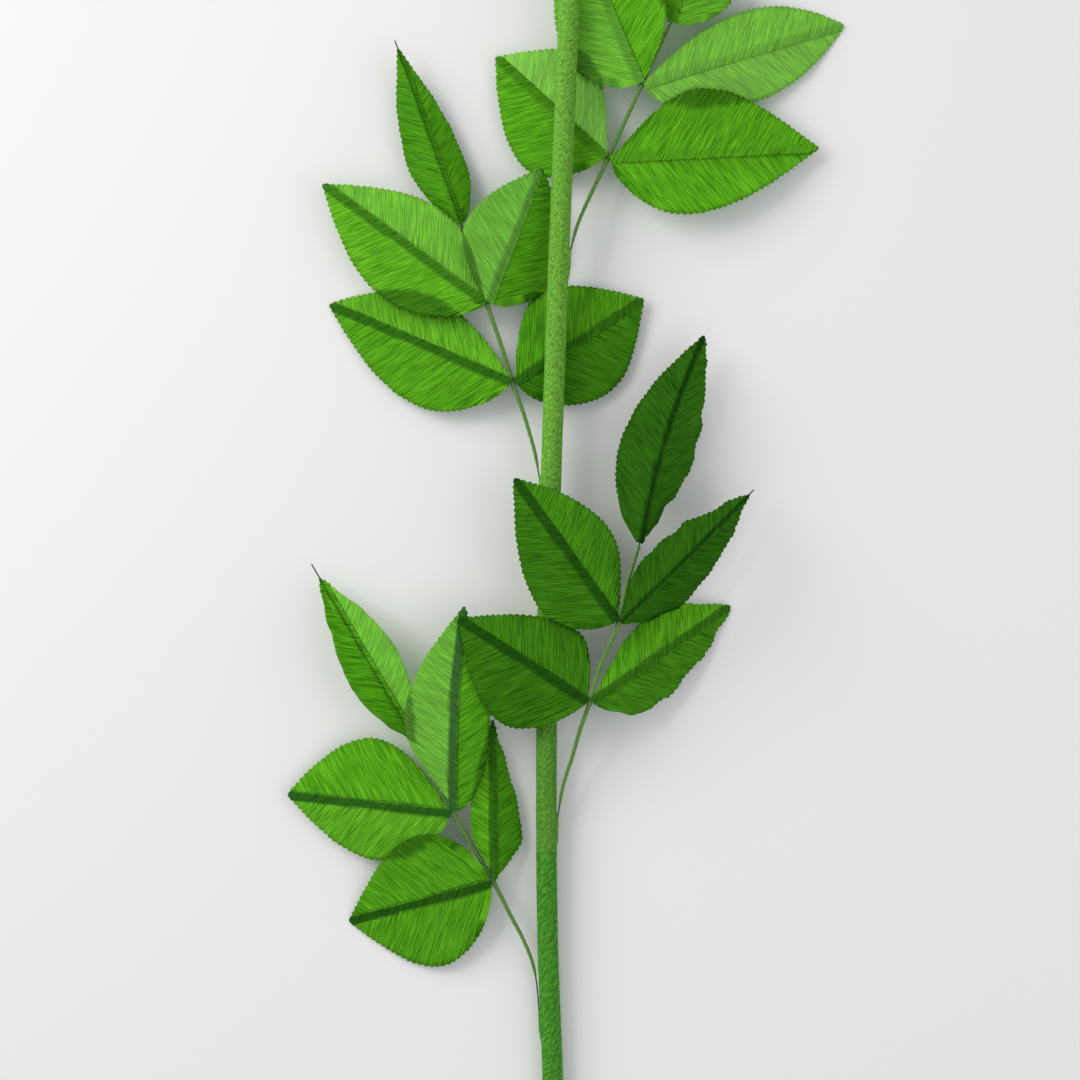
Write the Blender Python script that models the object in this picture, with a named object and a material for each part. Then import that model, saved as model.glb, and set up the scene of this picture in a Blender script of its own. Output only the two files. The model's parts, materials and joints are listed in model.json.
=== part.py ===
"""Leafy stalk of a giant crepe-paper flower, lying on a flat surface.

A plastic pipe wrapped in crepe paper carries four sprigs. Each sprig is a stalk of paper-taped wire with
five leaflets: one at its end and two pairs. A leaflet is two pieces of crepe paper cut on the bias and
glued along the midrib with an overlap, on a wire that runs under the seam.

Metres, +Z up. +Y runs along the stem towards the bloom end, +X to the right, and the surface is Z = 0.
The tables below are in millimetres and degrees, laid out from the stem's lower end.
"""

import math
from collections import namedtuple

import bmesh
import bpy
from mathutils import Matrix, Vector

MM = 0.001

# Driving dimensions, in millimetres.
GAP = 0.3  # clearance between pieces that touch
PAPER = 0.5  # thickness of the crepe paper
PIPE_RADIUS = 8.0
PIPE_WALL = 1.2
WIRE_RADIUS = 0.6
OVERLAP = 4.0  # each half of a leaflet runs this far past the midrib
BLADE_START = 2.4  # from the middle of a joint to the first of the blade
BLADE_BASE = 1.2  # half width of a blade at its base
BLADE_TIP = 0.8  # half width of a blade at its tip
WIRE_SHORT = 10.0  # a leaflet's wire stops this far before the tip
TAIL = 24.0  # length of stalk wire bound in under the stem's wrap
TAPE_SHORT = 2.0  # the stalk's tape stops this far before its end leaflet
POD_RADIUS = 1.9  # swelling of the wrap over such a tail
KNOT_RADIUS = 2.3  # swelling of the tape where a pair of leaflets is bound in
KNOT_HALF_LENGTH = 1.8
WRAP_JOINT_Y = 232.0  # where one strip of the stem's wrap ends and the next begins

PIPE_SIDES = 16
WIRE_SIDES = 6
TAPE_SIDES = 8

WRAP_BORE = PIPE_RADIUS + GAP
WRAP_RADIUS = WRAP_BORE + PAPER
TAIL_RADIUS = PIPE_RADIUS + GAP + WIRE_RADIUS
CROSSING_RISE = 2 * WIRE_RADIUS + 2 * GAP  # a pair's wire passes over the stalk's wire
TAPE_BORE = WIRE_RADIUS + GAP
LOWER_SHEET = WIRE_RADIUS + GAP  # underside of the lower half, above the wire's middle
UPPER_SHEET = LOWER_SHEET + PAPER + 1.5 * GAP

# The stem's middle line: control points of a smooth curve, level and straight at its lower end.
STEM_CONTROLS = [
    (0.0, 0, WRAP_RADIUS),
    (0.0, 25, WRAP_RADIUS),
    (0.0, 55, WRAP_RADIUS),
    (-5.0, 150, 10.5),
    (-5.6, 280, 14.3),
    (-5.0, 430, 20.0),
    (-0.2, 590, 26.3),
    (6.0, 760, 33.0),
    (14.0, 940, 39.5),
    (20.0, 1080, 44.0),
]

Half = namedtuple("Half", "width lift belly root end", defaults=(1.0, 1.0))
Leaflet = namedtuple("Leaflet", "name joint heading length rise arch bow left right past_tip")
Sprig = namedtuple("Sprig", "name side mouth route lower_joint upper_joint leaflets")


def leaflet(name, joint, heading, length, rise, arch, left, right, bow=0.0, past_tip=-WIRE_SHORT):
    """One row of a sprig's table. Each half is (width, lift, belly, root, end): its true width, the angle at
    which it leaves the midrib, upwards positive, how far along the leaflet it is widest, from 0 to 1, and
    two powers that make its base and its tip fuller below 1 and straighter above 1."""
    return Leaflet(name, joint, heading, length, rise, arch, bow, Half(*left), Half(*right), past_tip)


# route: points of the stalk's wire after it leaves the stem, through both joints to the end leaflet.
SPRIGS = [
    Sprig(
        "low_left", -1, 100,
        [(-13.6, 123, 10.5), (-17.6, 141.5, 11.5), (-25.6, 161, 13), (-36.2, 181, 14),
         (-49, 206.5, 15.5), (-65.2, 235, 18.5), (-82.5, 264, 21.5), (-98, 293, 23), (-111.5, 321, 24)],
        4, 6,
        [
            leaflet("end", 8, 120.8, 157, -12, 3, (27, 40, 0.38, 1.15), (29, 28, 0.47), past_tip=14),
            leaflet("lower_left", 4, 195.8, 123, -18, 4, (56.5, -8, 0.46, 0.65), (55, 8, 0.39, 0.5)),
            leaflet("lower_right", 4, 90.4, 132, -6, 2, (19.5, 12, 0.36, 1.8),
                    (26, -26, 0.26, 1.3, 1.3)),
            leaflet("upper_left", 6, 174.1, 136, -17, 4, (46.5, -12, 0.41, 0.6),
                    (55, -7, 0.50, 1, 0.9)),
            leaflet("upper_right", 6, 86.8, 169, 4, 6, (41, 16, 0.44, 1.45),
                    (31, -8, 0.40, 0.5), bow=4),
        ],
    ),
    Sprig(
        "mid_right", 1, 264,
        [(8.5, 287, 18.5), (15.8, 311, 25), (22.5, 335, 32),
         (30, 356.5, 38), (39.6, 389.5, 43), (53.3, 421.5, 47), (60.6, 454.5, 49), (70, 485, 50)],
        3, 5,
        [
            leaflet("end", 7, 72.6, 179, -26, 8, (38.5, -30, 0.39, 0.7), (41, -48, 0.48, 1.1), bow=6),
            leaflet("lower_left", 3, 147.3, 125, -6, 3, (54, -9, 0.40, 0.7), (45, -10, 0.30)),
            leaflet("lower_right", 3, 33.7, 139, -40.3, 6, (31.5, -4, 0.56, 1.15),
                    (37, -28, 0.29, 0.65, 0.9)),
            leaflet("upper_left", 5, 125.6, 143.5, -4, 3, (46, -10, 0.30, 0.6),
                    (39.5, -10, 0.46, 1.05)),
            leaflet("upper_right", 5, 44.3, 149, -25, 10, (32, 38, 0.39, 0.9), (33, -40, 0.34, 0.65),
                    past_tip=6),
        ],
    ),
    Sprig(
        "mid_left", -1, 543,
        [(-15, 562, 23.5), (-23, 590, 20), (-28.5, 606, 18),
         (-33, 619, 17), (-44, 654, 20), (-54, 683, 23), (-64.5, 715, 25), (-75, 748, 26)],
        3, 5,
        [
            leaflet("end", 7, 109.8, 154, -8, 2, (28.5, -30, 0.38, 0.85), (26.5, -39, 0.31, 0.7),
                    past_tip=8),
            leaflet("lower_left", 3, 156.5, 164.5, -19.5, 4, (48.5, -8, 0.38, 0.65),
                    (40, -9, 0.53, 0.9, 0.9)),
            leaflet("lower_right", 3, 33.2, 127, -12, 0, (51, -7, 0.44, 1.05), (49.5, -8, 0.46, 0.5)),
            leaflet("upper_left", 5, 143.5, 167.5, -10, 4, (46.5, -8, 0.42, 0.65), (40.5, 6, 0.42)),
            leaflet("upper_right", 5, 68.9, 119, -4, 3, (42, 16, 0.44, 0.9),
                    (48, -24, 0.36, 0.55, 0.85)),
        ],
    ),
    Sprig(
        "top_right", 1, 731,
        [(20.3, 749, 31), (31, 774, 26),
         (45, 804, 20), (59, 834, 24.5), (72.5, 863, 28), (85, 889, 30), (96.5, 912.5, 31)],
        2, 4,
        [
            leaflet("end", 6, 72.5, 158, -12, 4, (42, -18, 0.40, 0.9), (45.5, -18, 0.28, 0.55)),
            leaflet("lower_left", 2, 136.9, 124, -14, 0, (51.5, -8, 0.34, 0.65), (51, -6, 0.54, 1.05)),
            leaflet("lower_right", 2, 3.6, 173.5, -13, 2, (53, 9, 0.45, 1.1, 1.1), (50, 6, 0.34, 0.6)),
            leaflet("upper_left", 4, 112.9, 158, -6, 1, (48, -4, 0.32, 0.45, 1.25),
                    (48, 14, 0.40, 0.9)),
            leaflet("upper_right", 4, 18.0, 176, -30.4, 5, (36, -12, 0.59, 0.9, 0.85),
                    (40, -15, 0.50, 0.5, 0.9)),
        ],
    ),
]

BLADE_STATIONS = [0.0, 0.07, 0.17, 0.31, 0.47, 0.63, 0.79, 0.92, 1.0]


# ---------------------------------------------------------------- curves


def b_spline(controls, steps):
    """Points of a clamped uniform cubic B-spline."""
    c = [Vector(controls[0])] * 2 + [Vector(p) for p in controls] + [Vector(controls[-1])] * 2
    points = []
    for i in range(len(c) - 3):
        for k in range(steps):
            t = k / steps
            points.append(
                ((1 - t) ** 3 * c[i] + (3 * t**3 - 6 * t**2 + 4) * c[i + 1]
                 + (-3 * t**3 + 3 * t**2 + 3 * t + 1) * c[i + 2] + t**3 * c[i + 3]) / 6
            )
    return points + [Vector(controls[-1])]


def through(points, steps):
    """Points of a smooth curve that passes through all the given points."""
    p = [Vector(q) for q in points]
    p = [2 * p[0] - p[1]] + p + [2 * p[-1] - p[-2]]
    out = []
    for i in range(1, len(p) - 2):
        for k in range(steps):
            t = k / steps
            out.append(
                0.5 * (2 * p[i] + (p[i + 1] - p[i - 1]) * t
                       + (2 * p[i - 1] - 5 * p[i] + 4 * p[i + 1] - p[i + 2]) * t**2
                       + (3 * p[i] - p[i - 1] - 3 * p[i + 1] + p[i + 2]) * t**3)
            )
    return out + [p[-2]]


STEM_LINE = b_spline(STEM_CONTROLS, 6)


def stem_at(y):
    """The stem's middle at a distance y from its lower end."""
    for a, b in zip(STEM_LINE, STEM_LINE[1:]):
        if a.y <= y <= b.y:
            return a.lerp(b, (y - a.y) / (b.y - a.y))
    raise ValueError(f"the stem does not reach {y} mm")


def stem_between(low, high):
    """The stem's middle line from low to high, measured along Y."""
    inner = [p for p in STEM_LINE[::3] if low + 8 < p.y < high - 8]
    return [stem_at(low), stem_at(low + 2)] + inner + [stem_at(high - 2), stem_at(high)]


# ---------------------------------------------------------------- objects


def clear_scene():
    for o in list(bpy.data.objects):
        bpy.data.objects.remove(o, do_unlink=True)


def make_material(name, colour, roughness, metallic=0.0):
    m = bpy.data.materials.new(name)
    m.use_nodes = True
    shader = m.node_tree.nodes["Principled BSDF"]
    shader.inputs["Base Color"].default_value = (*colour, 1)
    shader.inputs["Roughness"].default_value = roughness
    shader.inputs["Metallic"].default_value = metallic
    m.diffuse_color = (*colour, 1)
    return m


def finish_object(name, mesh, material, parent):
    """Links a mesh as an object, smooth but for its sharp edges."""
    mesh.shade_smooth()
    mesh.set_sharp_from_angle(angle=math.radians(40))
    if material:
        mesh.materials.append(material)
    o = bpy.data.objects.new(name, mesh)
    bpy.context.scene.collection.objects.link(o)
    o.parent = parent
    return o


def make_rod(name, points, radii, sides, material, parent):
    """A solid rod along points, given in millimetres, from a bevelled curve with filled ends."""
    curve = bpy.data.curves.new(name, "CURVE")
    curve.dimensions = "3D"
    curve.bevel_depth = MM
    curve.bevel_resolution = (sides - 4) // 2
    curve.use_fill_caps = True
    spline = curve.splines.new("POLY")
    spline.points.add(len(points) - 1)
    for i, (point, p) in enumerate(zip(spline.points, points)):
        point.co = (*(p * MM), 1)
        point.radius = radii[i] if isinstance(radii, list) else radii
    guide = bpy.data.objects.new(name, curve)
    mesh = bpy.data.meshes.new_from_object(guide)
    bpy.data.objects.remove(guide)
    bpy.data.curves.remove(curve)
    mesh.name = name
    bm = bmesh.new()
    bm.from_mesh(mesh)
    bmesh.ops.remove_doubles(bm, verts=bm.verts, dist=0.001 * MM)
    bmesh.ops.recalc_face_normals(bm, faces=bm.faces)
    bm.to_mesh(mesh)
    bm.free()
    return finish_object(name, mesh, material, parent)


def make_tool(name, points, radii, sides, parent):
    """A hidden rod that a Boolean adds or takes away."""
    o = make_rod(name, points, radii, sides, None, parent)
    o.hide_render = True
    o.display_type = "WIRE"
    return o


def combine(target, tool, operation):
    m = target.modifiers.new(tool.name, "BOOLEAN")
    m.operation = operation
    m.solver = "EXACT"
    m.object = tool


# ---------------------------------------------------------------- leaflets


def side_vector(leaf):
    """Level unit vector to the left of a leaflet's midrib."""
    a = math.radians(leaf.heading + 90)
    return Vector((math.cos(a), math.sin(a), 0))


def midrib(leaf, start, t):
    """A point of the midrib, which is the middle of its wire: t is 0 at the blade's base and 1 at its tip."""
    a = math.radians(leaf.heading)
    ahead = Vector((math.cos(a), math.sin(a), 0))
    hump = 4 * t * (1 - t)
    return (start + ahead * leaf.length * t + side_vector(leaf) * leaf.bow * hump
            + Vector((0, 0, leaf.rise * t + leaf.arch * hump)))


def half_width(half, t):
    """Width of one half of a blade at t."""
    if t < half.belly:
        return BLADE_BASE + (half.width - BLADE_BASE) * math.sin(math.pi / 2 * t / half.belly) ** half.root
    fall = math.cos(math.pi / 2 * (t - half.belly) / (1 - half.belly))
    return BLADE_TIP + (half.width - BLADE_TIP) * max(fall, 0.0) ** half.end


def make_blade_half(name, leaf, start, side, height, material, parent):
    """One half of a blade: a bent strip with the paper's thickness. side is 1 for the left half and -1 for
    the right one, height is its underside above the wire's middle. Each row of the strip runs from the inner
    edge, past the midrib, to the outer edge."""
    own, other = (leaf.left, leaf.right) if side > 0 else (leaf.right, leaf.left)
    left = side_vector(leaf)
    bm = bmesh.new()
    rows = []
    for t in BLADE_STATIONS:
        m = midrib(leaf, start, t)
        width = half_width(own, t)
        inner = min(OVERLAP, half_width(other, t))
        row = []
        for half, reach in ((other, -inner), (None, 0.0), (own, 0.5 * width), (own, width)):
            lift = math.radians(half.lift if half else max(abs(own.lift), abs(other.lift)))
            out = left * side * reach * math.cos(lift)
            climb = abs(reach) * math.sin(lift) if half else 0.0
            row.append(bm.verts.new((m + out + Vector((0, 0, climb + height / math.cos(lift)))) * MM))
        rows.append(row if side < 0 else row[::-1])
    for low, high in zip(rows, rows[1:]):
        for k in range(len(low) - 1):
            bm.faces.new((low[k], low[k + 1], high[k + 1], high[k]))
    mesh = bpy.data.meshes.new(name)
    bm.to_mesh(mesh)
    bm.free()
    o = finish_object(name, mesh, material, parent)
    paper = o.modifiers.new("paper", "SOLIDIFY")
    paper.thickness = PAPER * MM
    paper.offset = 1.0
    return o


def blade_start(leaf, sprig):
    """Where the midrib enters the blade. A pair's wire passes over the stalk's wire at the joint."""
    joint = Vector(sprig.route[leaf.joint])
    a = math.radians(leaf.heading)
    rise = 0 if leaf.name == "end" else CROSSING_RISE
    return joint + Vector((math.cos(a), math.sin(a), 0)) * BLADE_START + Vector((0, 0, rise))


def leaflet_wire_points(leaf, start):
    """Middle line of the wire under one leaflet, from the blade's base outwards."""
    end = 1 + leaf.past_tip / leaf.length
    steps = 8
    points = [midrib(leaf, start, 0.93 * k / steps) for k in range(steps)]
    if end <= 1:
        return points + [midrib(leaf, start, end)]
    tip, before = midrib(leaf, start, 1.0), midrib(leaf, start, 0.93)
    return points + [before, tip, tip + (tip - before).normalized() * leaf.past_tip]


# ---------------------------------------------------------------- sprigs


def stalk_line(sprig):
    """Middle line of the stalk's wire: the tail bound to the stem, then the route to the end leaflet."""
    out = Vector((sprig.side * TAIL_RADIUS, 0, 0))
    tail = [stem_at(sprig.mouth - TAIL * k) + out for k in (1.0, 0.62, 0.25)]
    stalk = through([tail[-1], *sprig.route], 2)
    blade = blade_start(sprig.leaflets[0], sprig)
    stalk[-1] = blade + (stalk[-2] - blade).normalized() * TAPE_SHORT
    return tail, stalk


def pair_wire_points(sprig, left, right):
    """One wire bent to a V: along one midrib, over the stalk's wire and out along the other."""
    a, b = blade_start(left, sprig), blade_start(right, sprig)
    corner = Vector(sprig.route[left.joint]) + Vector((0, 0, CROSSING_RISE))
    bend = [a * (1 - t) ** 2 + corner * 2 * t * (1 - t) + b * t * t for t in (0.25, 0.5, 0.75)]
    return list(reversed(leaflet_wire_points(left, a))) + bend + leaflet_wire_points(right, b)


def tape_radius(sprig, path, i):
    """Outer radius of the stalk's tape: thickest half way, with a knot at each joint."""
    share = i / (len(path) - 1)
    radius = 1.35 + 0.45 * math.sin(math.pi * share)
    if i == 0:
        radius = 1.4
    near = min((path[i] - Vector(sprig.route[j])).length for j in (sprig.lower_joint, sprig.upper_joint))
    return KNOT_RADIUS if near < KNOT_HALF_LENGTH else radius


def tape_line(sprig, stalk):
    """The part of the stalk's line that the tape covers, with extra points about each knot."""
    clear = WRAP_RADIUS + GAP + 1.4
    first = next(i for i, p in enumerate(stalk) if (p - stem_at(p.y)).length > clear + 0.4)
    line = stalk[first:]
    for j in (sprig.lower_joint, sprig.upper_joint):
        joint = Vector(sprig.route[j])
        i = min(range(len(line)), key=lambda k: (line[k] - joint).length)
        before, after = (line[i - 1] - line[i]).normalized(), (line[i + 1] - line[i]).normalized()
        steps = [KNOT_HALF_LENGTH + 1.6, KNOT_HALF_LENGTH - 0.3]
        line[i : i + 1] = ([line[i] + before * s for s in steps] + [line[i]]
                           + [line[i] + after * s for s in reversed(steps)])
    return line


def build_sprig(sprig, parent, leaf_paper, tape_paper, steel):
    ends = {leaf.name: leaf for leaf in sprig.leaflets}
    for leaf in sprig.leaflets:
        start = blade_start(leaf, sprig)
        for side, word, height in ((1, "left", UPPER_SHEET), (-1, "right", LOWER_SHEET)):
            name = f"{sprig.name}_{leaf.name}_leaflet_{word}_half"
            make_blade_half(name, leaf, start, side, height, leaf_paper, parent)

    tail, stalk = stalk_line(sprig)
    end = ends["end"]
    wire = tail[:-1] + stalk + leaflet_wire_points(end, blade_start(end, sprig))
    make_rod(f"{sprig.name}_stalk_wire", wire, WIRE_RADIUS, WIRE_SIDES, steel, parent)

    line = tape_line(sprig, stalk)
    radii = [tape_radius(sprig, line, i) for i in range(len(line))]
    tape = make_rod(f"{sprig.name}_stalk_tape", line, radii, TAPE_SIDES, tape_paper, parent)
    bore = [line[0] * 2 - line[1], *line[1:-1], line[-1] * 2 - line[-2]]
    combine(tape, make_tool(f"{sprig.name}_tape_bore", bore, TAPE_BORE, TAPE_SIDES, parent), "DIFFERENCE")

    for level in ("lower", "upper"):
        points = pair_wire_points(sprig, ends[f"{level}_left"], ends[f"{level}_right"])
        make_rod(f"{sprig.name}_{level}_pair_wire", points, WIRE_RADIUS, WIRE_SIDES, steel, parent)
        joint = Vector(sprig.route[ends[f"{level}_left"].joint])
        middle = min(range(len(points)), key=lambda k: (points[k] - joint).length)
        near = points[middle - 3 : middle + 4]
        room = make_tool(f"{sprig.name}_{level}_room", near, WIRE_RADIUS + 1.2 * GAP, 8, parent)
        combine(tape, room, "DIFFERENCE")


# ---------------------------------------------------------------- stem


def build_stem(parent, plastic, paper):
    length = STEM_CONTROLS[-1][1]
    recess = PAPER + GAP  # the wrap is folded over each end of the pipe
    line = stem_between(recess, length - recess)
    tube = make_rod("stem_pipe", line, PIPE_RADIUS, PIPE_SIDES, plastic, parent)
    through_line = [line[0] * 2 - line[1], *line[1:-1], line[-1] * 2 - line[-2]]
    hollow = make_tool("stem_hollow", through_line, PIPE_RADIUS - PIPE_WALL, PIPE_SIDES, parent)
    combine(tube, hollow, "DIFFERENCE")
    strips = (
        ("stem_wrap_lower", 0, WRAP_JOINT_Y, PAPER, WRAP_JOINT_Y + 5),
        ("stem_wrap_upper", WRAP_JOINT_Y + GAP, length, WRAP_JOINT_Y - 5, length - PAPER),
    )
    for name, low, high, bore_low, bore_high in strips:
        wrap = make_rod(name, stem_between(low, high), WRAP_RADIUS, PIPE_SIDES, paper, parent)
        held = [sprig for sprig in SPRIGS if low < sprig.mouth < high]
        for sprig in held:
            out = Vector((sprig.side * TAIL_RADIUS, 0, 0))
            reach = [stem_at(sprig.mouth - TAIL - 4 + (TAIL + 1) * k / 6) + out for k in range(7)]
            swell = [POD_RADIUS * s for s in (0.15, 0.6, 0.8, 0.85, 0.85, 0.8, 0.55)]
            combine(wrap, make_tool(f"{sprig.name}_pod", reach, swell, 10, parent), "UNION")
        bore = make_tool(f"{name}_bore", stem_between(bore_low, bore_high), WRAP_BORE, PIPE_SIDES, parent)
        combine(wrap, bore, "DIFFERENCE")
        for sprig in held:
            tail, stalk = stalk_line(sprig)
            before = tail[0] + (tail[0] - tail[1]).normalized() * GAP
            channel = [before, *tail[1:-1], *stalk[:4]]
            room = make_tool(f"{sprig.name}_channel", channel, WIRE_RADIUS + GAP, 8, parent)
            combine(wrap, room, "DIFFERENCE")


def centre_on_floor(root):
    """Moves the whole flower so that the middle of its footprint is the origin and it stands on Z = 0."""
    bpy.context.view_layer.update()
    graph = bpy.context.evaluated_depsgraph_get()
    points = []
    for o in root.children:
        if not o.hide_render:
            evaluated = o.evaluated_get(graph)
            points += [evaluated.matrix_world @ v.co for v in evaluated.data.vertices]
    low = Vector([min(p[k] for p in points) for k in range(3)])
    high = Vector([max(p[k] for p in points) for k in range(3)])
    middle = (low + high) / 2
    root.matrix_world = Matrix.Translation((-middle.x, -middle.y, -low.z))


def main():
    clear_scene()
    root = bpy.data.objects.new("paper_flower", None)
    bpy.context.scene.collection.objects.link(root)
    leaf_paper = make_material("leaf_paper", (0.10, 0.32, 0.02), 0.85)
    stem_paper = make_material("stem_paper", (0.12, 0.33, 0.06), 0.85)
    tape_paper = make_material("tape_paper", (0.14, 0.28, 0.09), 0.8)
    steel = make_material("wire_steel", (0.22, 0.24, 0.22), 0.4, 1.0)
    plastic = make_material("pipe_plastic", (0.75, 0.75, 0.72), 0.45)
    build_stem(root, plastic, stem_paper)
    for sprig in SPRIGS:
        build_sprig(sprig, root, leaf_paper, tape_paper, steel)
    centre_on_floor(root)


main()
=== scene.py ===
"""Visual model of the leafy crepe-paper flower stalk, laid out as a Blender add-on and run as a script.

Lengths in the tables are millimetres, counted from the stem's lower end, and angles are degrees. The
leaflets, stem wraps, taped stalks and wires are rebuilt here with their creped, pinked and wound surfaces.
"""

import json
import math
from collections import namedtuple

import bmesh
import bpy
import numpy as np
from bpy.props import FloatProperty, FloatVectorProperty, PointerProperty
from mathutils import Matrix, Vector


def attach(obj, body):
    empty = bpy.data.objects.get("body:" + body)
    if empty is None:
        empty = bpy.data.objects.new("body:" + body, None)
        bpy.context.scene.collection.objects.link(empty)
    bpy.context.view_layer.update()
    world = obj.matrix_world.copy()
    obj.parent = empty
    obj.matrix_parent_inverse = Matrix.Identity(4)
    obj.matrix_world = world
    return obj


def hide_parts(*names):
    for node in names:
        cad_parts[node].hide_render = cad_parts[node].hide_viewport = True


bl_info = {
    "name": "Crepe paper flower stalk",
    "version": (1, 0, 0),
    "blender": (4, 5, 0),
    "location": "View3D > Sidebar > Paper flower",
    "description": "Builds the creped leaflets, wrapped stem and taped stalks of a paper flower",
    "category": "Object",
}

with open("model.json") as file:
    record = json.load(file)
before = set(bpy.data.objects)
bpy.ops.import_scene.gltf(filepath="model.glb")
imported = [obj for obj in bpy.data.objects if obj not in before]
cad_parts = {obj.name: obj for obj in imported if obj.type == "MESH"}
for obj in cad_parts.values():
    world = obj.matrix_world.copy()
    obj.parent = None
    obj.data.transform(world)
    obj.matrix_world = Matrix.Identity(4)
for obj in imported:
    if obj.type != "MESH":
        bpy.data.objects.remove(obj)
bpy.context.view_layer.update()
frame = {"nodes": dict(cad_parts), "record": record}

MM = 0.001
SHEET = 0.5  # room that a sheet of paper takes
HALF_SHEET = 0.16  # half the thickness of a leaflet's paper
GAP = 0.3  # clearance between pieces that touch
PIPE_RADIUS = 8.0
WIRE_RADIUS = 0.6
OVERLAP = 4.0  # each half of a leaflet runs this far past the midrib
BLADE_START = 2.4  # from the middle of a joint to the first of the blade
BLADE_BASE = 1.2  # half width of a blade at its base
BLADE_TIP = 0.8  # half width of a blade at its tip
WIRE_SHORT = 10.0  # a leaflet's wire stops this far before the tip
TAIL = 24.0  # length of stalk wire bound in under the stem's wrap
TAPE_SHORT = 2.0  # the stalk's tape stops this far before its end leaflet
TAPE_TURN = 6.5  # distance along a stalk for one turn of its tape
KNOT_RADIUS = 2.3  # swelling of the tape where a pair of leaflets is bound in
KNOT_HALF_LENGTH = 1.8
WRAP_JOINT_Y = 232.0  # where one strip of the stem's wrap ends and the next begins
WRAP_RADIUS = PIPE_RADIUS + GAP + SHEET
WRAP_SIDES = 72
TAIL_RADIUS = PIPE_RADIUS + GAP + WIRE_RADIUS
CROSSING_RISE = 2 * WIRE_RADIUS + 2 * GAP  # a pair's wire passes over the stalk's wire
LOWER_SHEET = WIRE_RADIUS + GAP  # underside of the lower half, above the wire's middle
UPPER_SHEET = LOWER_SHEET + SHEET + 1.5 * GAP
EDGE_CORNERS = 13.0  # distance between the corners of an unevenly cut edge
FOOT = Vector(frame["record"]["mounts"][0]["pos_m"]) / MM - Vector((0, 0, WRAP_RADIUS))

STEM_CONTROLS = [
    (0.0, 0, WRAP_RADIUS),
    (0.0, 25, WRAP_RADIUS),
    (0.0, 55, WRAP_RADIUS),
    (-5.0, 150, 10.5),
    (-5.6, 280, 14.3),
    (-5.0, 430, 20.0),
    (-0.2, 590, 26.3),
    (6.0, 760, 33.0),
    (14.0, 940, 39.5),
    (20.0, 1080, 44.0),
]

Half = namedtuple("Half", "width lift belly root end", defaults=(1.0, 1.0))
Leaflet = namedtuple(
    "Leaflet", "name joint heading length rise arch bow left right past_tip tone seam band wave plain uneven"
)
Sprig = namedtuple("Sprig", "name side mouth route lower_joint upper_joint leaflets")


def leaflet(name, joint, heading, length, rise, arch, left, right, bow=0.0, past_tip=-WIRE_SHORT,
            tone=(1.0, 1.0), seam=0.6, band=1.0, wave=0.6, plain=0.06, uneven=(0.4, 0.4)):
    """One row of a sprig's table. Each half is (width, lift, belly, root, end), as in the CAD. tone lightens
    or darkens the left and the right half: partly the paper's own tone, partly painted shade on halves turned
    from the light and painted light on halves turned to it. seam is painted shade over the glued double band,
    band is the share of the band's width that shows, wave ruffles the edge, in millimetres, plain is how much
    of each edge, from the base, was cut without teeth, and uneven is how far either edge strays from its
    line, in millimetres."""
    return Leaflet(name, joint, heading, length, rise, arch, bow, Half(*left), Half(*right), past_tip,
                   tone, seam, band, wave, plain, uneven)


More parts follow.
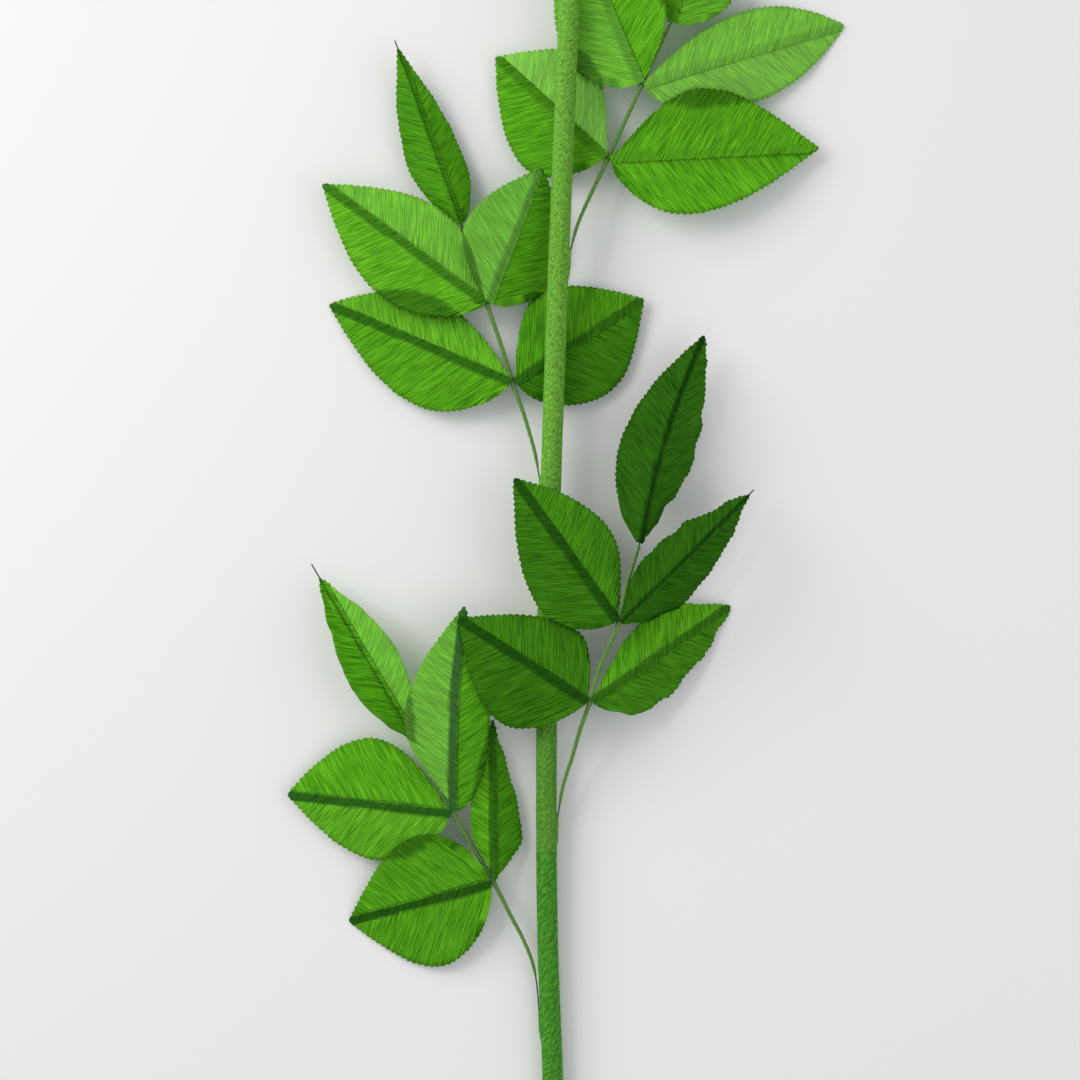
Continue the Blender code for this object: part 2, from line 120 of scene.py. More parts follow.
SPRIGS = [
    Sprig(
        "low_left", -1, 100,
        [(-13.6, 123, 10.5), (-17.6, 141.5, 11.5), (-25.6, 161, 13), (-36.2, 181, 14),
         (-49, 206.5, 15.5), (-65.2, 235, 18.5), (-82.5, 264, 21.5), (-98, 293, 23), (-111.5, 321, 24)],
        4, 6,
        [
            leaflet("end", 8, 120.8, 157, -12, 3, (27, 40, 0.38, 1.15), (29, 28, 0.47),
                    past_tip=14, tone=(0.85, 1.08), seam=0.8, band=0.35, wave=1.0, plain=0.9,
                    uneven=(1.0, 0.9)),
            leaflet("lower_left", 4, 195.8, 123, -18, 4, (56.5, -8, 0.46, 0.65), (55, 8, 0.39, 0.5),
                    tone=(0.84, 0.82), seam=1.0, plain=0.16),
            leaflet("lower_right", 4, 90.4, 132, -6, 2, (19.5, 12, 0.36, 1.8), (26, -26, 0.26, 1.3, 1.3),
                    tone=(0.92, 0.64), seam=0.8, wave=1.2, uneven=(0.5, 1.3)),
            leaflet("upper_left", 6, 174.1, 136, -17, 4, (46.5, -12, 0.41, 0.6), (55, -7, 0.50, 1, 0.9),
                    tone=(0.97, 0.91), seam=1.0),
            leaflet("upper_right", 6, 86.8, 169, 4, 6, (41, 16, 0.44, 1.45), (31, -8, 0.40, 0.5),
                    bow=4, tone=(1.1, 0.8), seam=0.95, plain=0.1),
        ],
    ),
    Sprig(
        "mid_right", 1, 264,
        [(8.5, 287, 18.5), (15.8, 311, 25), (22.5, 335, 32),
         (30, 356.5, 38), (39.6, 389.5, 43), (53.3, 421.5, 47), (60.6, 454.5, 49), (70, 485, 50)],
        3, 5,
        [
            leaflet("end", 7, 72.6, 179, -26, 8, (38.5, -30, 0.39, 0.7), (41, -48, 0.48, 1.1),
                    bow=6, tone=(0.29, 0.4), seam=0.8, band=0.5, wave=1.6, plain=0.2, uneven=(0.8, 2.4)),
            leaflet("lower_left", 3, 147.3, 125, -6, 3, (54, -9, 0.40, 0.7), (45, -10, 0.30),
                    tone=(0.43, 0.5), seam=0.8),
            leaflet("lower_right", 3, 33.7, 139, -40.3, 6, (31.5, -4, 0.56, 1.15), (37, -28, 0.29, 0.65, 0.9),
                    tone=(0.88, 0.62), seam=0.75, plain=0.35, uneven=(0.8, 2.2)),
            leaflet("upper_left", 5, 125.6, 143.5, -4, 3, (46, -10, 0.30, 0.6), (39.5, -10, 0.46, 1.05),
                    tone=(0.45, 0.6), seam=0.75),
            leaflet("upper_right", 5, 44.3, 149, -25, 10, (32, 38, 0.39, 0.9), (33, -40, 0.34, 0.65),
                    past_tip=6, tone=(0.43, 0.33), seam=0.8, band=0.7, wave=1.8, plain=0.3,
                    uneven=(2.2, 1.8)),
        ],
    ),
    Sprig(
        "mid_left", -1, 543,
        [(-15, 562, 23.5), (-23, 590, 20), (-28.5, 606, 18),
         (-33, 619, 17), (-44, 654, 20), (-54, 683, 23), (-64.5, 715, 25), (-75, 748, 26)],
        3, 5,
        [
            leaflet("end", 7, 109.8, 154, -8, 2, (28.5, -30, 0.38, 0.85), (26.5, -39, 0.31, 0.7),
                    past_tip=8, tone=(0.66, 0.85), seam=0.8, band=0.3, wave=0.9, plain=0.25,
                    uneven=(0.6, 0.6)),
            leaflet("lower_left", 3, 156.5, 164.5, -19.5, 4, (48.5, -8, 0.38, 0.65), (40, -9, 0.53, 0.9, 0.9),
                    tone=(0.86, 0.98), seam=0.8),
            leaflet("lower_right", 3, 33.2, 127, -12, 0, (51, -7, 0.44, 1.05), (49.5, -8, 0.46, 0.5),
                    tone=(0.8, 0.54), seam=0.75),
            leaflet("upper_left", 5, 143.5, 167.5, -10, 4, (46.5, -8, 0.42, 0.65), (40.5, 6, 0.42),
                    tone=(0.96, 1.06), seam=0.7),
            leaflet("upper_right", 5, 68.9, 119, -4, 3, (42, 16, 0.44, 0.9), (48, -24, 0.36, 0.55, 0.85),
                    tone=(1.1, 0.83), seam=0.5, band=0.7),
        ],
    ),
    Sprig(
        "top_right", 1, 731,
        [(20.3, 749, 31), (31, 774, 26),
         (45, 804, 20), (59, 834, 24.5), (72.5, 863, 28), (85, 889, 30), (96.5, 912.5, 31)],
        2, 4,
        [
            leaflet("end", 6, 72.5, 158, -12, 4, (42, -18, 0.40, 0.9), (45.5, -18, 0.28, 0.55),
                    tone=(0.92, 1.0), seam=0.35),
            leaflet("lower_left", 2, 136.9, 124, -14, 0, (51.5, -8, 0.34, 0.65), (51, -6, 0.54, 1.05),
                    tone=(0.88, 1.18), seam=0.4),
            leaflet("lower_right", 2, 3.6, 173.5, -13, 2, (53, 9, 0.45, 1.1, 1.1), (50, 6, 0.34, 0.6),
                    tone=(0.92, 0.9), seam=0.15),
            leaflet("upper_left", 4, 112.9, 158, -6, 1, (48, -4, 0.32, 0.45, 1.25), (48, 14, 0.40, 0.9),
                    tone=(1.05, 0.93), seam=0.35),
            leaflet("upper_right", 4, 18.0, 176, -30.4, 5, (36, -12, 0.59, 0.9, 0.85),
                    (40, -15, 0.50, 0.5, 0.9), tone=(1.1, 1.15), seam=0.2),
        ],
    ),
]


# ---------------------------------------------------------------- settings


class FlowerPaperSettings(bpy.types.PropertyGroup):
    """Paper of the leaflets."""

    # Dark and light green are one paper: the folds are painted in shade and the crests in light.
    dark: FloatVectorProperty(
        name="Dark green", description="Colour of the paper in the folds of the crepe", subtype="COLOR",
        default=(0.042, 0.25, 0.003), min=0.0, max=1.0)
    light: FloatVectorProperty(
        name="Light green", description="Colour of the paper on the crests of the crepe", subtype="COLOR",
        default=(0.27, 0.80, 0.026), min=0.0, max=1.0)
    grain_angle: FloatProperty(
        name="Grain angle", description="Angle between the midrib and the folds of the crepe",
        subtype="ANGLE", default=math.radians(57), min=0.6, max=1.5)
    grain_pitch: FloatProperty(
        name="Grain pitch", description="Typical distance between folds of the crepe", unit="LENGTH",
        default=0.0019, min=0.0005, max=0.01)
    ridge: FloatProperty(
        name="Ridge height", description="Height of the folds of the crepe", unit="LENGTH",
        default=0.00017, min=0.0, max=0.001)
    tooth_pitch: FloatProperty(
        name="Tooth pitch", description="Distance between the teeth of the pinked edge", unit="LENGTH",
        default=0.005, min=0.001, max=0.02)
    tooth_depth: FloatProperty(
        name="Tooth depth", description="Depth of the teeth of the pinked edge", unit="LENGTH",
        default=0.0014, min=0.0, max=0.005)
    step: FloatProperty(
        name="Mesh step", description="Distance between mesh rows across the grain", unit="LENGTH",
        default=0.0007, min=0.0002, max=0.005)


class FlowerStemSettings(bpy.types.PropertyGroup):
    """Wrapped stem, taped stalks and wires."""

    # The stem's dark and light greens are one paper: painted shade in the folds, painted light on the crests.
    dark: FloatVectorProperty(
        name="Stem dark green", description="Colour of the stem's paper in its folds", subtype="COLOR",
        default=(0.035, 0.15, 0.008), min=0.0, max=1.0)
    light: FloatVectorProperty(
        name="Stem light green", description="Colour of the stem's paper on its crests", subtype="COLOR",
        default=(0.20, 0.50, 0.04), min=0.0, max=1.0)
    tape: FloatVectorProperty(
        name="Tape green", description="Colour of the paper tape wound on the stalks", subtype="COLOR",
        default=(0.13, 0.29, 0.05), min=0.0, max=1.0)
    wire: FloatVectorProperty(
        name="Wire green", description="Colour of the lacquered wire", subtype="COLOR",
        default=(0.03, 0.07, 0.035), min=0.0, max=1.0)


class FlowerStageSettings(bpy.types.PropertyGroup):
    """Floor, light and camera."""

    floor: FloatVectorProperty(
        name="Floor", description="Colour of the floor", subtype="COLOR",
        default=(0.79, 0.785, 0.77), min=0.0, max=1.0)
    key: FloatProperty(
        name="Key light", description="Power of the large soft light from the upper left",
        default=64.0, min=0.0, unit="POWER")
    fill: FloatProperty(
        name="Fill light", description="Power of the soft light from the right",
        default=10.0, min=0.0, unit="POWER")
    view_width: FloatProperty(
        name="View width", description="Width that the camera sees at the floor", unit="LENGTH",
        default=0.9, min=0.1, max=3.0)


# ---------------------------------------------------------------- curves


def b_spline(controls, steps):
    """Points of a clamped uniform cubic B-spline."""
    c = [Vector(controls[0])] * 2 + [Vector(p) for p in controls] + [Vector(controls[-1])] * 2
    points = []
    for i in range(len(c) - 3):
        for k in range(steps):
            t = k / steps
            points.append(
                ((1 - t) ** 3 * c[i] + (3 * t**3 - 6 * t**2 + 4) * c[i + 1]
                 + (-3 * t**3 + 3 * t**2 + 3 * t + 1) * c[i + 2] + t**3 * c[i + 3]) / 6
            )
    return points + [Vector(controls[-1])]


def through(points, steps):
    """Points of a smooth curve that passes through all the given points."""
    p = [Vector(q) for q in points]
    p = [2 * p[0] - p[1]] + p + [2 * p[-1] - p[-2]]
    out = []
    for i in range(1, len(p) - 2):
        for k in range(steps):
            t = k / steps
            out.append(
                0.5 * (2 * p[i] + (p[i + 1] - p[i - 1]) * t
                       + (2 * p[i - 1] - 5 * p[i] + 4 * p[i + 1] - p[i + 2]) * t**2
                       + (3 * p[i] - p[i - 1] - 3 * p[i + 1] + p[i + 2]) * t**3)
            )
    return out + [p[-2]]


STEM_LINE = b_spline(STEM_CONTROLS, 24)


def stem_at(y):
    """The stem's middle at a distance y from its lower end."""
    for a, b in zip(STEM_LINE, STEM_LINE[1:]):
        if a.y <= y <= b.y:
            return a.lerp(b, (y - a.y) / (b.y - a.y))
    raise ValueError(f"the stem does not reach {y} mm")


def even(points, step):
    """The same line as a numpy array of points a step apart, and their distances from its start."""
    p = np.array([tuple(q) for q in points])
    run = np.concatenate([[0], np.cumsum(np.linalg.norm(np.diff(p, axis=0), axis=1))])
    n = max(2, int(round(run[-1] / step)) + 1)
    d = np.linspace(0, run[-1], n)
    return np.stack([np.interp(d, run, p[:, k]) for k in range(3)], 1), d


def frames(path):
    """Unit vectors along, up and to the side at each point of a path, without twist."""
    along = np.gradient(path, axis=0)
    along /= np.linalg.norm(along, axis=1)[:, None]
    ups = np.empty_like(path)
    up = np.array([0.0, 0.0, 1.0])
    for i, a in enumerate(along):
        up = up - a * (up @ a)
        up /= np.linalg.norm(up)
        ups[i] = up
    return along, ups, np.cross(along, ups)


def smooth(x, low, high):
    """0 below low, 1 above high, and an even slope between."""
    t = np.clip((x - low) / (high - low), 0, 1)
    return t * t * (3 - 2 * t)


def lattice(rng, u, v, du, dv):
    """Smooth noise from -1 to 1 with cells du by dv, at the points u, v."""
    a, b = (u - u.min()) / du, (v - v.min()) / dv
    cells = rng.uniform(-1, 1, (int(a.max()) + 2, int(b.max()) + 2))
    i, j = a.astype(int), b.astype(int)
    x, y = a - i, b - j
    x, y = x * x * (3 - 2 * x), y * y * (3 - 2 * y)
    low = cells[i, j] * (1 - y) + cells[i, j + 1] * y
    high = cells[i + 1, j] * (1 - y) + cells[i + 1, j + 1] * y
    return low * (1 - x) + high * x


# ---------------------------------------------------------------- objects


def new_piece(name, verts, faces, material, nodes, uv=None, values=None):
    """A mesh piece from points in table millimetres. uv holds one pair per vertex, and values named floats
    per vertex. It rides on the one body and stands for the given CAD nodes."""
    mesh = bpy.data.meshes.new(name)
    points = (verts + np.array(FOOT)) * MM
    points[:, 2] = np.maximum(points[:, 2], 0.0001)
    mesh.vertices.add(len(points))
    mesh.vertices.foreach_set("co", points.astype(np.float32).ravel())
    mesh.loops.add(faces.size)
    mesh.loops.foreach_set("vertex_index", faces.ravel().astype(np.int32))
    mesh.polygons.add(len(faces))
    mesh.polygons.foreach_set("loop_start", np.arange(0, faces.size, faces.shape[1], dtype=np.int32))
    mesh.update(calc_edges=True)
    mesh.validate()
    if uv is not None:
        layer = mesh.uv_layers.new(name="grain")
        layer.uv.foreach_set("vector", uv[faces.ravel()].astype(np.float32).ravel())
    for key, numbers in (values or {}).items():
        attribute = mesh.attributes.new(key, "FLOAT", "POINT")
        attribute.data.foreach_set("value", numbers.astype(np.float32))
    mesh.shade_smooth()
    mesh.materials.append(material)
    o = bpy.data.objects.new(name, mesh)
    bpy.context.scene.collection.objects.link(o)
    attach(o, "root")
    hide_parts(*nodes)
    return o


def sheet_faces(rows, columns, flip):
    """Quads of a closed sheet: an upper grid, a lower grid after it, and a rim that joins them."""
    r, c = np.meshgrid(np.arange(rows - 1), np.arange(columns - 1), indexing="ij")
    a = (r * columns + c).ravel()
    top = np.stack([a, a + columns, a + columns + 1, a + 1], 1)
    low = top[:, ::-1] + rows * columns
    last = rows * columns - 1
    edge = np.concatenate([
        np.arange(0, columns - 1), np.arange(columns - 1, last, columns),
        np.arange(last, last - columns + 1, -1), np.arange(last - columns + 1, 0, -columns)])
    after = np.roll(edge, -1)
    rim = np.stack([edge, after, after + rows * columns, edge + rows * columns], 1)
    faces = np.concatenate([top, low, rim])
    return faces[:, ::-1] if flip else faces


def tube(name, path, radius, sides, material, nodes, shape=None, uv_turn=0.0, tone=None):
    """A closed tube. radius holds one value per point of the path, and shape(distance, angle) more height for
    each point of the surface. tone, one value per point of the path, lightens or darkens the colour."""
    along, up, side = frames(path)
    n = len(path)
    run = np.concatenate([[0], np.cumsum(np.linalg.norm(np.diff(path, axis=0), axis=1))])
    angle = np.linspace(0, 2 * np.pi, sides, endpoint=False)
    d, a = np.meshgrid(run, angle, indexing="ij")
    r = np.repeat(np.asarray(radius)[:, None], sides, 1)
    if shape:
        r = r + shape(d, a)
    ring = (np.cos(a)[..., None] * up[:, None, :] + np.sin(a)[..., None] * side[:, None, :])
    verts = (path[:, None, :] + r[..., None] * ring).reshape(-1, 3)
    i, k = np.meshgrid(np.arange(n - 1), np.arange(sides), indexing="ij")
    p, q = (i * sides + k).ravel(), (i * sides + (k + 1) % sides).ravel()
    faces = np.stack([p, q, q + sides, p + sides], 1)
    verts = np.concatenate([verts, path[:1], path[-1:]])
    mean = float(np.mean(radius))
    uv = np.stack([(d + uv_turn * a * mean).ravel(), (a * mean - uv_turn * d).ravel()], 1)
    uv = np.concatenate([uv, [[0, 0], [run[-1], 0]]]) * MM
    tone = np.ones(n) if tone is None else tone
    shades = np.concatenate([np.repeat(tone, sides), tone[[0, -1]]])
    o = new_piece(name, verts, faces, material, nodes, uv=uv, values={"tone": shades})
    close_ends(o, sides, n)
    return o


def close_ends(o, sides, n):
    """Fans that close the two ends of a tube."""
    bm = bmesh.new()
    bm.from_mesh(o.data)
    bm.verts.ensure_lookup_table()
    first, last = bm.verts[n * sides], bm.verts[n * sides + 1]
    for k in range(sides):
        m = (k + 1) % sides
        bm.faces.new((bm.verts[m], bm.verts[k], first))
        bm.faces.new((bm.verts[(n - 1) * sides + k], bm.verts[(n - 1) * sides + m], last))
    for f in bm.faces:
        f.smooth = True
    bm.to_mesh(o.data)
    bm.free()


# ---------------------------------------------------------------- materials


def socket(tree, name, kind, direction, value=None):
    """A new input or output of a shader group."""
    s = tree.interface.new_socket(name=name, in_out=direction, socket_type=kind)
    if value is not None:
        s.default_value = value
    return s


def crepe_group():
    """Shader group: streaks of creped paper along the first coordinate of the grain map, which the materials
    paint darker in the folds and lighter on the crests as painted shade and highlight, with small crest
    highlights. Across and Along count the streaks in a metre, across and along the grain."""
    if "crepe grain" in bpy.data.node_groups:
        return bpy.data.node_groups["crepe grain"]
    tree = bpy.data.node_groups.new("crepe grain", "ShaderNodeTree")
    socket(tree, "Across", "NodeSocketFloat", "INPUT", 600.0)
    socket(tree, "Along", "NodeSocketFloat", "INPUT", 40.0)
    socket(tree, "Streak", "NodeSocketFloat", "OUTPUT")
    socket(tree, "Fleck", "NodeSocketFloat", "OUTPUT")
    socket(tree, "Normal", "NodeSocketVector", "OUTPUT")
    n, link = tree.nodes, tree.links.new
    enter, leave = n.new("NodeGroupInput"), n.new("NodeGroupOutput")
    uv = n.new("ShaderNodeUVMap")
    uv.uv_map = "grain"
    split = n.new("ShaderNodeSeparateXYZ")
    link(uv.outputs["UV"], split.inputs[0])

    bend = n.new("ShaderNodeTexNoise")
    bend.inputs["Scale"].default_value = 130.0
    bend.inputs["Detail"].default_value = 1.0
    link(uv.outputs["UV"], bend.inputs["Vector"])
    sway = n.new("ShaderNodeMath")
    sway.operation = "MULTIPLY_ADD"
    sway.inputs[1].default_value = 0.0016
    link(bend.outputs["Fac"], sway.inputs[0])
    link(split.outputs["Y"], sway.inputs[2])

    def scaled(across, along):
        """Noise with its two coordinates scaled by shares of the group's inputs."""
        a, b = n.new("ShaderNodeMath"), n.new("ShaderNodeMath")
        for node, source, entry, share in ((a, split.outputs["X"], "Along", along),
                                           (b, sway.outputs[0], "Across", across)):
            node.operation = "MULTIPLY"
            link(source, node.inputs[0])
            m = n.new("ShaderNodeMath")
            m.operation = "MULTIPLY"
            link(enter.outputs[entry], m.inputs[0])
            m.inputs[1].default_value = share
            link(m.outputs[0], node.inputs[1])
        join = n.new("ShaderNodeCombineXYZ")
        link(a.outputs[0], join.inputs["X"])
        link(b.outputs[0], join.inputs["Y"])
        noise = n.new("ShaderNodeTexNoise")
        noise.inputs["Scale"].default_value = 1.0
        noise.inputs["Detail"].default_value = 2.0
        noise.inputs["Roughness"].default_value = 0.6
        link(join.outputs[0], noise.inputs["Vector"])
        return noise

    coarse, fine = scaled(0.7, 0.7), scaled(2.0, 1.7)
    ramp = n.new("ShaderNodeMapRange")
    ramp.inputs["From Min"].default_value = 0.32
    ramp.inputs["From Max"].default_value = 0.68
    link(coarse.outputs["Fac"], ramp.inputs["Value"])
    # Small bright marks on the crests: painted highlights.
    crest_highlight = n.new("ShaderNodeMapRange")
    crest_highlight.inputs["From Min"].default_value = 0.58
    crest_highlight.inputs["From Max"].default_value = 0.75
    link(fine.outputs["Fac"], crest_highlight.inputs["Value"])
    both = n.new("ShaderNodeMath")
    both.operation = "MULTIPLY_ADD"
    link(fine.outputs["Fac"], both.inputs[0])
    both.inputs[1].default_value = 0.6
    link(ramp.outputs[0], both.inputs[2])
    bump = n.new("ShaderNodeBump")
    bump.inputs["Strength"].default_value = 0.45
    bump.inputs["Distance"].default_value = 0.0003
    link(both.outputs[0], bump.inputs["Height"])
    link(ramp.outputs[0], leave.inputs["Streak"])
    link(crest_highlight.outputs[0], leave.inputs["Fleck"])
    link(bump.outputs[0], leave.inputs["Normal"])
    return tree


def base_material(name, roughness):
    """A dull material, its node tree and its Principled shader."""
    material = bpy.data.materials.new(name)
    material.use_nodes = True
    shader = material.node_tree.nodes["Principled BSDF"]
    shader.inputs["Roughness"].default_value = roughness
    shader.inputs["Specular IOR Level"].default_value = 0.25
    return material, material.node_tree, shader


def mix_colour(tree, factor, a, b, blend="MIX"):
    """A colour mix. factor, a and b are sockets or values."""
    node = tree.nodes.new("ShaderNodeMix")
    node.data_type = "RGBA"
    node.blend_type = blend
    for entry, value in ((node.inputs[0], factor), (node.inputs[6], a), (node.inputs[7], b)):
        if isinstance(value, bpy.types.NodeSocket):
            tree.links.new(value, entry)
        elif isinstance(value, (int, float)):
            entry.default_value = value
        else:
            entry.default_value = (*value, 1)
    return node.outputs[2]


def math_node(tree, operation, a, b):
    """The result of one operation on two sockets or values."""
    node = tree.nodes.new("ShaderNodeMath")
    node.operation = operation
    for entry, value in zip(node.inputs, (a, b)):
        if isinstance(value, bpy.types.NodeSocket):
            tree.links.new(value, entry)
        else:
            entry.default_value = value
    return node.outputs[0]


def attribute(tree, name):
    """A value that the mesh carries at each vertex."""
    node = tree.nodes.new("ShaderNodeAttribute")
    node.attribute_name = name
    return node.outputs["Fac"]


def toned(tree, colour):
    """The colour multiplied by the mesh's tone, and the deeper the darker it gets: the paper's own tone and,
    on leaflets, painted shade.
    """
    tone = attribute(tree, "tone")
    scale = tree.nodes.new("ShaderNodeVectorMath")
    scale.operation = "SCALE"
    tree.links.new(colour, scale.inputs[0])
    tree.links.new(tone, scale.inputs["Scale"])
    colour = scale.outputs[0]
    return mix_colour(tree, math_node(tree, "SUBTRACT", 1.0, tone), colour,
                      mix_colour(tree, 1.0, colour, (0.55, 1.0, 0.7), "MULTIPLY"))


def leaf_material(paper):
    """Creped leaf paper: streaks along the grain with painted shade in the folds, painted light and small
    painted highlights on the crests, painted shade over the glued band and where leaflets lie together, and a
    darker rim along the cut edge.
    """
    material, tree, shader = base_material("leaf crepe paper", 0.8)
    link = tree.links.new
    grain = tree.nodes.new("ShaderNodeGroup")
    grain.node_tree = crepe_group()
    grain.inputs["Across"].default_value = 1150.0
    grain.inputs["Along"].default_value = 70.0
    # Painted shade in the crepe's folds and painted light on its crests: the level runs from dark to light
    # green over the streaks and the ridge heights.
    streak = math_node(tree, "MULTIPLY", grain.outputs["Streak"], 0.5)
    ridge = math_node(tree, "MULTIPLY", attribute(tree, "ridge"), 0.68)
    level = math_node(tree, "ADD", streak, ridge)
    level = math_node(tree, "SUBTRACT", level, 0.1)
    colour = mix_colour(tree, level, paper.dark, paper.light)
    # Painted highlights: small bright marks on the crests.
    crest_highlight = math_node(tree, "MULTIPLY", grain.outputs["Fleck"], 0.65)
    crest_highlight = math_node(tree, "MULTIPLY", crest_highlight, attribute(tree, "ridge"))
    colour = mix_colour(tree, crest_highlight, colour, (0.36, 0.78, 0.14))
    mottle = tree.nodes.new("ShaderNodeTexNoise")
    mottle.inputs["Scale"].default_value = 26.0
    mottle.inputs["Detail"].default_value = 3.0
    place = tree.nodes.new("ShaderNodeTexCoord")
    link(place.outputs["Object"], mottle.inputs["Vector"])
    patch = math_node(tree, "MULTIPLY", mottle.outputs["Fac"], 0.18)
    colour = mix_colour(tree, patch, colour, paper.dark)
    # Halves toned above 0.95 turn towards a pale green: partly the paper's milky tone, partly painted light
    # on halves that face the light.
    pale_and_lit = math_node(tree, "SUBTRACT", attribute(tree, "tone"), 0.95)
    pale_and_lit = math_node(tree, "MULTIPLY", pale_and_lit, 1.2)
    colour = mix_colour(tree, pale_and_lit, colour, (0.50, 0.74, 0.27))
    colour = toned(tree, colour)
    # Painted shade over the glued double band by the midrib, where less light passes the two layers.
    colour = mix_colour(tree, attribute(tree, "seam"), colour,
                        mix_colour(tree, 1.0, colour, (0.19, 0.30, 0.50), "MULTIPLY"))
    # Painted shade where another leaflet of the sprig lies over or under this one.
    colour = mix_colour(tree, attribute(tree, "double"), colour,
                        mix_colour(tree, 1.0, colour, (0.45, 0.52, 0.5), "MULTIPLY"))
    rim = mix_colour(tree, 1.0, colour, (0.9, 0.85, 0.85), "MULTIPLY")
    colour = mix_colour(tree, attribute(tree, "rim"), colour, rim)
    link(colour, shader.inputs["Base Color"])
    link(grain.outputs["Normal"], shader.inputs["Normal"])
    shader.inputs["Specular IOR Level"].default_value = 0.08
    glow = tree.nodes.new("ShaderNodeBsdfTranslucent")
    link(mix_colour(tree, 1.0, colour, (1.5, 1.3, 1.0), "MULTIPLY"), glow.inputs["Color"])
    link(grain.outputs["Normal"], glow.inputs["Normal"])
    blend = tree.nodes.new("ShaderNodeMixShader")
    blend.inputs[0].default_value = 0.35
    link(shader.outputs[0], blend.inputs[1])
    link(glow.outputs[0], blend.inputs[2])
    link(blend.outputs[0], tree.nodes["Material Output"].inputs["Surface"])
    return material


def wrap_material(name, dark, light, across, along, roughness, crest_highlight):
    """Paper wound round a stem or a stalk, with painted shade in the folds and painted light and small
    painted highlights on the crests of its crepe.
    """
    material, tree, shader = base_material(name, roughness)
    link = tree.links.new
    grain = tree.nodes.new("ShaderNodeGroup")
    grain.node_tree = crepe_group()
    grain.inputs["Across"].default_value = across
    grain.inputs["Along"].default_value = along
    # Painted shade in the folds and painted light on the crests of the creping, with small painted
    # highlights.
    colour = mix_colour(tree, grain.outputs["Streak"], dark, light)
    colour = mix_colour(tree, math_node(tree, "MULTIPLY", grain.outputs["Fleck"], crest_highlight), colour,
                        (0.38, 0.62, 0.22))
    mottle = tree.nodes.new("ShaderNodeTexNoise")
    mottle.inputs["Scale"].default_value = 40.0
    place = tree.nodes.new("ShaderNodeTexCoord")
    link(place.outputs["Object"], mottle.inputs["Vector"])
    patch = math_node(tree, "MULTIPLY", mottle.outputs["Fac"], 0.2)
    colour = mix_colour(tree, patch, colour, dark)
    colour = toned(tree, colour)
    link(colour, shader.inputs["Base Color"])
    link(grain.outputs["Normal"], shader.inputs["Normal"])
    return material


def wire_material(colour):
    """Dark green lacquer on wire, worn in small spots."""
    material, tree, shader = base_material("lacquered wire", 0.45)
    link = tree.links.new
    worn = tree.nodes.new("ShaderNodeTexNoise")
    worn.inputs["Scale"].default_value = 700.0
    place = tree.nodes.new("ShaderNodeTexCoord")
    link(place.outputs["Object"], worn.inputs["Vector"])
    spots = tree.nodes.new("ShaderNodeMapRange")
    spots.inputs["From Min"].default_value = 0.6
    spots.inputs["From Max"].default_value = 0.75
    link(worn.outputs["Fac"], spots.inputs["Value"])
    link(mix_colour(tree, spots.outputs[0], colour, (0.12, 0.16, 0.12)), shader.inputs["Base Color"])
    shader.inputs["Metallic"].default_value = 0.3
    return material


def plastic_material():
    """Grey-white pipe with faint lengthwise marks."""
    material, tree, shader = base_material("grey pipe", 0.45)
    marks = tree.nodes.new("ShaderNodeTexNoise")
    marks.inputs["Scale"].default_value = 60.0
    place = tree.nodes.new("ShaderNodeTexCoord")
    tree.links.new(place.outputs["Object"], marks.inputs["Vector"])
    tree.links.new(mix_colour(tree, marks.outputs["Fac"], (0.70, 0.70, 0.67), (0.8, 0.8, 0.78)),
                   shader.inputs["Base Color"])
    return material


# ---------------------------------------------------------------- leaflets


def heading_vectors(leaf):
    """Level unit vectors ahead along a leaflet and to its left."""
    a = math.radians(leaf.heading)
    return np.array([math.cos(a), math.sin(a), 0.0]), np.array([-math.sin(a), math.cos(a), 0.0])


def midrib(leaf, start, t):
    """Points of the midrib, which is the middle of its wire: t is 0 at the blade's base and 1 at its tip."""
    t = np.asarray(t, float)[..., None]
    ahead, left = heading_vectors(leaf)
    hump = 4 * t * (1 - t)
    return (np.array(start) + ahead * leaf.length * t + left * leaf.bow * hump
            + np.array([0, 0, 1.0]) * (leaf.rise * t + leaf.arch * hump))


def half_width(half, t):
    """Width of one half of a blade at t."""
    t = np.clip(t, 0, 1)
    grow = np.sin(np.pi / 2 * np.clip(t / half.belly, 0, 1)) ** half.root
    fall = np.cos(np.pi / 2 * np.clip((t - half.belly) / (1 - half.belly), 0, 1)) ** half.end
    return np.where(t < half.belly, BLADE_BASE + (half.width - BLADE_BASE) * grow,
                    BLADE_TIP + (half.width - BLADE_TIP) * fall)


def blade_start(leaf, sprig):
    """Where the midrib enters the blade. A pair's wire passes over the stalk's wire at the joint."""
    joint = Vector(sprig.route[leaf.joint])
    a = math.radians(leaf.heading)
    rise = 0 if leaf.name == "end" else CROSSING_RISE
    return joint + Vector((math.cos(a), math.sin(a), 0)) * BLADE_START + Vector((0, 0, rise))


